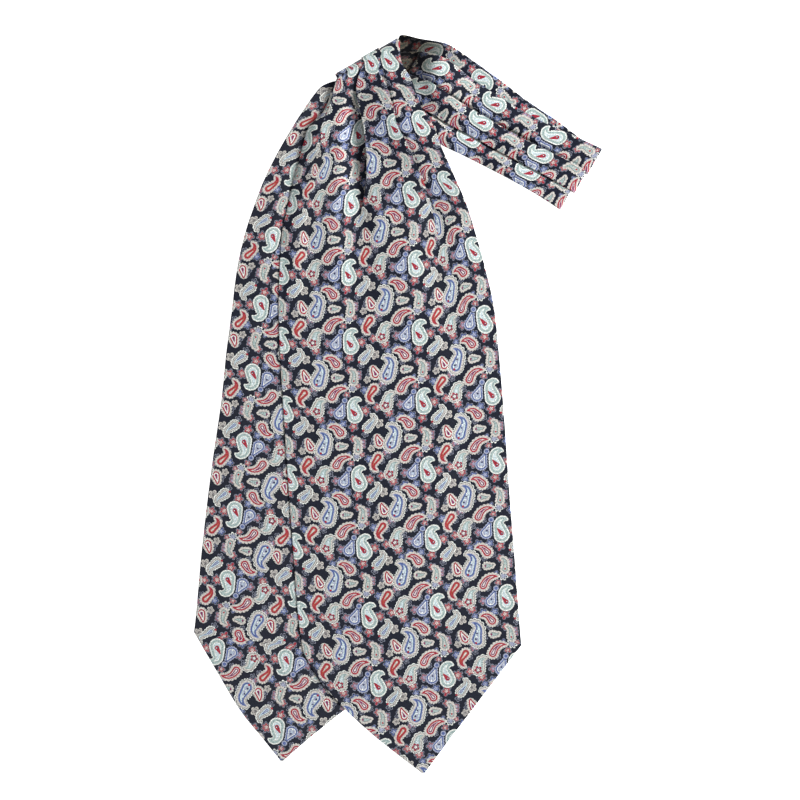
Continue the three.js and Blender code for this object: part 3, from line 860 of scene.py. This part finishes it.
def shell(name, rings, material):
    """A closed wall of cloth through rings that have the same number of points."""
    count = len(rings[0])
    columns = np.concatenate(rings)
    points = columns[:, :3] * MM
    cut = columns[:, 3:5]
    here = np.arange(count)
    beside = (here + 1) % count
    faces = []
    for j in range(len(rings) - 1):
        a, b = j * count, (j + 1) * count
        faces.extend(np.stack((a + here, b + here, b + beside, a + beside), axis=1).tolist())
    faces.append(here.tolist())
    faces.append(((len(rings) - 1) * count + here[::-1]).tolist())
    mesh = bpy.data.meshes.new(name)
    mesh.from_pydata(points.tolist(), [], faces)
    mesh.update()
    layer = mesh.uv_layers.new(name="cut")
    corners = np.zeros(len(mesh.loops), dtype=np.int64)
    mesh.loops.foreach_get("vertex_index", corners)
    layer.data.foreach_set("uv", cut[corners].ravel())
    # The share of painted shade at each point, which darkens the print.
    painted_shade = mesh.attributes.new("painted_shade", "FLOAT", "POINT")
    painted_shade.data.foreach_set("value", columns[:, 5].astype(np.float32))
    mesh.shade_smooth()
    mesh.materials.append(material)
    return added(name, mesh)


def linear(colour):
    """A daylight colour of 0 to 255 as the shader's light."""
    shares = [c / 255 for c in colour]
    return [c / 12.92 if c <= 0.04045 else ((c + 0.055) / 1.055) ** 2.4 for c in shares] + [1.0]


def give(tree, socket, value):
    """Links a value to a socket, or sets it there."""
    if isinstance(value, bpy.types.NodeSocket):
        tree.links.new(value, socket)
    else:
        socket.default_value = value


def set_inputs(node, **values):
    """Sets a node's inputs by their names, with _ for a space."""
    for name, value in values.items():
        node.inputs[name.replace("_", " ")].default_value = value


def calc(tree, operation, *values, clamp=False):
    """The result of a math node."""
    node = tree.nodes.new("ShaderNodeMath")
    node.operation = operation
    node.use_clamp = clamp
    for socket, value in zip(node.inputs, values):
        give(tree, socket, value)
    return node.outputs[0]


def vector_calc(tree, operation, *values, output="Vector"):
    """The result of a vector math node."""
    node = tree.nodes.new("ShaderNodeVectorMath")
    node.operation = operation
    for socket, value in zip(node.inputs, values):
        give(tree, socket, value)
    return node.outputs[output]


def vector(tree, x, y, z=0.0):
    """A vector of three values."""
    node = tree.nodes.new("ShaderNodeCombineXYZ")
    for socket, value in zip(node.inputs, (x, y, z)):
        give(tree, socket, value)
    return node.outputs[0]


def parts(tree, value):
    """The first two values of a vector."""
    node = tree.nodes.new("ShaderNodeSeparateXYZ")
    give(tree, node.inputs[0], value)
    return node.outputs[0], node.outputs[1]


def choose(tree, factor, otherwise, value):
    """The value where the factor is 1, and the other one where it is 0."""
    node = tree.nodes.new("ShaderNodeMix")
    node.data_type = "FLOAT"
    give(tree, node.inputs[0], factor)
    give(tree, node.inputs[2], otherwise)
    give(tree, node.inputs[3], value)
    return node.outputs[0]


def new_group(name, inputs, outputs):
    """An empty node group, with its inputs as sockets by name."""
    group = bpy.data.node_groups.new(name, "ShaderNodeTree")
    for socket, kind in inputs:
        group.interface.new_socket(socket, in_out="INPUT", socket_type=kind)
    for socket, kind in outputs:
        group.interface.new_socket(socket, in_out="OUTPUT", socket_type=kind)
    entry = group.nodes.new("NodeGroupInput")
    return group, {socket: entry.outputs[socket] for socket, _ in inputs}


def close_group(group, *values):
    """The group, with the values linked to its outputs."""
    way_out = group.nodes.new("NodeGroupOutput")
    for socket, value in zip(way_out.inputs, values):
        group.links.new(value, socket)
    return group


def paisley_group():
    """A teardrop with a curled tail: how deep a place lies in it, as a share of its bulb's radius."""
    names = ("Turn", "Radius", "Straight", "Curl", "Side", "Length", "Thins", "Scallop")
    inputs = [("Place", VECTOR)] + [(name, FLOAT) for name in names]
    group, given = new_group("paisley", inputs, [("Depth", FLOAT)])
    rotate = group.nodes.new("ShaderNodeVectorRotate")
    rotate.rotation_type = "Z_AXIS"
    give(group, rotate.inputs["Vector"], given["Place"])
    give(group, rotate.inputs["Angle"], given["Turn"])
    x, y = parts(group, rotate.outputs[0])
    x = calc(group, "MULTIPLY", x, given["Side"])
    beyond = calc(group, "SUBTRACT", y, given["Straight"])
    curls = calc(group, "GREATER_THAN", beyond, 0.0)
    inward = calc(group, "SUBTRACT", given["Curl"], x)
    reach = vector_calc(group, "LENGTH", vector(group, inward, beyond), output="Value")
    angle = calc(group, "ARCTAN2", beyond, inward)
    curled_x = calc(group, "SUBTRACT", given["Curl"], reach)
    curled_y = calc(group, "MULTIPLY_ADD", angle, given["Curl"], given["Straight"])
    x = choose(group, curls, x, curled_x)
    y = choose(group, curls, y, curled_y)
    up = calc(group, "MAXIMUM", y, 0.0)
    left = calc(group, "SUBTRACT", 1.0, calc(group, "DIVIDE", up, given["Length"]), clamp=True)
    half_width = calc(group, "MULTIPLY", calc(group, "POWER", left, given["Thins"]), given["Radius"])
    below = calc(group, "MINIMUM", y, 0.0)
    past = calc(group, "MAXIMUM", calc(group, "SUBTRACT", y, given["Length"]), 0.0)
    far = vector_calc(group, "LENGTH", vector(group, x, below, past), output="Value")
    depth = calc(group, "SUBTRACT", half_width, far)
    round_bulb = calc(group, "ARCTAN2", calc(group, "ABSOLUTE", x), calc(group, "MULTIPLY", below, -1.0))
    outline = calc(group, "MULTIPLY_ADD", round_bulb, given["Radius"], up)
    wave = calc(group, "SINE", calc(group, "MULTIPLY", outline, math.pi / SCALLOP_LENGTH))
    lobe = calc(group, "POWER", calc(group, "ABSOLUTE", wave), SCALLOP_SHARP)
    deepest = calc(group, "MULTIPLY", given["Scallop"], given["Radius"])
    scallop = calc(group, "MULTIPLY", calc(group, "SUBTRACT", lobe, SCALLOP_MIDDLE), deepest)
    inside = calc(group, "MULTIPLY", depth, 1 / SCALLOP_REACH, clamp=True)
    near_edge = calc(group, "SUBTRACT", 1.0, inside)
    depth = calc(group, "MULTIPLY_ADD", scallop, near_edge, depth)
    return close_group(group, calc(group, "DIVIDE", depth, given["Radius"]))


def flower_group():
    """A round flower with petals: how deep a place lies in it, as a share of its radius."""
    inputs = [("Place", VECTOR), ("Radius", FLOAT), ("Petals", FLOAT)]
    group, given = new_group("flower", inputs, [("Depth", FLOAT)])
    x, y = parts(group, given["Place"])
    turn = calc(group, "MULTIPLY", calc(group, "ARCTAN2", y, x), given["Petals"])
    petals = calc(group, "POWER", calc(group, "ABSOLUTE", calc(group, "SINE", turn)), SCALLOP_SHARP)
    far = vector_calc(group, "LENGTH", given["Place"], output="Value")
    inside = calc(group, "SUBTRACT", 1.0 - PETAL_DEPTH / 2, calc(group, "DIVIDE", far, given["Radius"]))
    return close_group(group, calc(group, "MULTIPLY_ADD", petals, PETAL_DEPTH, inside))


def placed(tree, place, right, down):
    """The place on the cloth as seen from the nearest copy of a drawing."""
    half = REPEAT / 2
    from_middle = vector_calc(tree, "SUBTRACT", place, (right, -down, 0.0))
    return vector_calc(tree, "WRAP", from_middle, (half, half, half), (-half, -half, -half))


def rings_of(text):
    """The rings of a drawing, written as a depth and a colour for each."""
    words = text.split()
    return zip(map(float, words[::2]), words[1::2])


def drawn_over(tree, colour, depth, rings):
    """The print so far with one more drawing on it."""
    ramp = tree.nodes.new("ShaderNodeValToRGB")
    ramp.color_ramp.interpolation = "CONSTANT"
    stops = ramp.color_ramp.elements
    stops[0].position = 0.0
    stops[0].color = (0.0, 0.0, 0.0, 0.0)
    stops.remove(stops[1])
    for start, name in rings_of(RINGS[rings]):
        stop = stops.new(max(start, OUTLINE_FROM))
        stop.color = linear(COLOURS[name])
    give(tree, ramp.inputs[0], depth)
    mix = tree.nodes.new("ShaderNodeMix")
    mix.data_type = "RGBA"
    give(tree, mix.inputs[0], ramp.outputs["Alpha"])
    give(tree, mix.inputs[6], colour)
    give(tree, mix.inputs[7], ramp.outputs["Color"])
    return mix.outputs[2]


def flower_over(tree, colour, flower, place, rings, right, down, radius, petals):
    """The print so far with one more flower or dot on it."""
    node = tree.nodes.new("ShaderNodeGroup")
    node.node_tree = flower
    give(tree, node.inputs["Place"], placed(tree, place, right, down))
    set_inputs(node, Radius=radius, Petals=petals)
    return drawn_over(tree, colour, node.outputs[0], rings)


def print_group():
    """The printed colour at a place of the flat cloth, in millimetres."""
    group, given = new_group("paisley_print", [("Place", VECTOR)], [("Color", "NodeSocketColor")])
    place = given["Place"]
    paisley, flower = paisley_group(), flower_group()
    colour = linear(COLOURS["ground"])
    for drawing in FLOWERS:
        colour = flower_over(group, colour, flower, place, *drawing)
    for rings, right, down, turn, radius, straight, curl, length, thins, scallop in PAISLEYS:
        node = group.nodes.new("ShaderNodeGroup")
        node.node_tree = paisley
        give(group, node.inputs["Place"], placed(group, place, right, down))
        set_inputs(node, Turn=math.radians(turn), Radius=radius, Straight=straight, Length=length)
        set_inputs(node, Curl=abs(curl), Side=math.copysign(1.0, curl), Thins=thins, Scallop=scallop)
        colour = drawn_over(group, colour, node.outputs[0], rings)
    for drawing in EYES:
        colour = flower_over(group, colour, flower, place, *drawing)
    return close_group(group, colour)


def silk_material():
    """Printed silk twill: the print on the flat cloth, uneven ink, painted shade in the hollow, and a low
    sheen.
    """
    material = bpy.data.materials.new("printed_silk")
    material.use_nodes = True
    tree = material.node_tree
    shader = tree.nodes["Principled BSDF"]
    cut = tree.nodes.new("ShaderNodeUVMap")
    cut.uv_map = "cut"
    place = vector_calc(tree, "MULTIPLY", cut.outputs[0], (REPEAT, REPEAT, 0.0))
    pattern = tree.nodes.new("ShaderNodeGroup")
    pattern.node_tree = print_group()
    give(tree, pattern.inputs[0], place)
    grain = tree.nodes.new("ShaderNodeTexNoise")
    set_inputs(grain, Scale=1 / GRAIN, Detail=1.0)
    give(tree, grain.inputs["Vector"], place)
    ink = tree.nodes.new("ShaderNodeMapRange")
    set_inputs(ink, From_Min=NOISE_FROM, From_Max=NOISE_TO, To_Min=GRAIN_DARKEST, To_Max=GRAIN_LIGHTEST)
    give(tree, ink.inputs["Value"], grain.outputs["Fac"])
    inked = vector_calc(tree, "SCALE", pattern.outputs[0])
    give(tree, inked.node.inputs["Scale"], ink.outputs[0])
    # Painted shade: where the attribute is set, the print keeps only a dull brown share of its light.
    painted_shade = tree.nodes.new("ShaderNodeAttribute")
    painted_shade.attribute_name = "painted_shade"
    painted_shade_mix = tree.nodes.new("ShaderNodeMix")
    painted_shade_mix.data_type = "VECTOR"
    give(tree, painted_shade_mix.inputs[0], painted_shade.outputs["Fac"])
    give(tree, painted_shade_mix.inputs[4], inked)
    give(tree, painted_shade_mix.inputs[5], vector_calc(tree, "MULTIPLY", inked, PAINTED_SHADE_TONE))
    give(tree, shader.inputs["Base Color"], painted_shade_mix.outputs[1])
    across, along = parts(tree, place)
    diagonal = calc(tree, "MULTIPLY", calc(tree, "ADD", across, along), 2 * math.pi / TWILL_PITCH)
    bump = tree.nodes.new("ShaderNodeBump")
    bump.inputs["Distance"].default_value = TWILL_HEIGHT * MM
    give(tree, bump.inputs["Height"], calc(tree, "SINE", diagonal))
    give(tree, shader.inputs["Normal"], bump.outputs[0])
    set_inputs(shader, Roughness=SILK_ROUGHNESS, Specular_IOR_Level=SILK_SPECULAR)
    set_inputs(shader, Sheen_Weight=SHEEN, Sheen_Roughness=SHEEN_ROUGHNESS)
    return material


silk = silk_material()
FRONT_ROWS = FRONT_PLACES + FRONT_POINT
BACK_ROWS = BACK_PLACES + BACK_POINT
STRETCHES = (
    ("front_blade", front_rings, FRONT_ROWS, "laid", ["back_blade_cloth", "neckband_over_cloth"]),
    ("back_blade", back_rings, BACK_ROWS, "laid", ["floor"]),
    ("neckband_over", over_rings, OVER_PLACES, "folded", ["neckband_under_cloth"]),
    ("neckband_under", under_rings, UNDER_PLACES, "folded", ["floor"]),
    ("front_turn", turn_rings, None, "folded", ["neckband_under_cloth"]),
)
for node, rings, rows, held, rests_on in STRETCHES:
    piece = shell(node + "_cloth", rings(), silk)
    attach(piece, "root")
    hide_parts(node)

# Floor, light and camera of the picture.
floor_mesh = bpy.data.meshes.new("floor")
half = FLOOR_SIZE / 2
corners = [(-half, -half, 0), (half, -half, 0), (half, half, 0), (-half, half, 0)]
floor_mesh.from_pydata(corners, [], [(0, 1, 2, 3)])
floor_material = bpy.data.materials.new("pale_floor")
floor_material.use_nodes = True
floor_shader = floor_material.node_tree.nodes["Principled BSDF"]
set_inputs(floor_shader, Base_Color=FLOOR_COLOUR, Roughness=FLOOR_ROUGHNESS, Specular_IOR_Level=0.0)
set_inputs(floor_shader, Emission_Color=WHITE, Emission_Strength=FLOOR_GLOW)
floor_mesh.materials.append(floor_material)
floor = added("floor", floor_mesh)

lamp_data = bpy.data.lights.new("softbox", "AREA")
lamp_data.size = LAMP_SIZE
lamp_data.energy = LAMP_POWER
lamp = added("softbox", lamp_data)
lamp.location = LAMP_PLACE
lamp.rotation_euler = lamp.location.to_track_quat("Z", "Y").to_euler()

world = bpy.data.worlds.new("studio")
world.use_nodes = True
set_inputs(world.node_tree.nodes["Background"], Color=WHITE, Strength=SKY_LIGHT)
bpy.context.scene.world = world

camera_data = bpy.data.cameras.new("camera")
camera_data.sensor_width = SENSOR
camera_data.lens = SENSOR * CAMERA_HEIGHT / FRAME_WIDTH
camera_data.dof.use_dof = False
camera = added("camera", camera_data)
camera.location = (FRAME_MIDDLE[0] * MM, FRAME_MIDDLE[1] * MM, CAMERA_HEIGHT * MM)
bpy.context.scene.camera = camera
bpy.context.scene.view_settings.view_transform = "Standard"
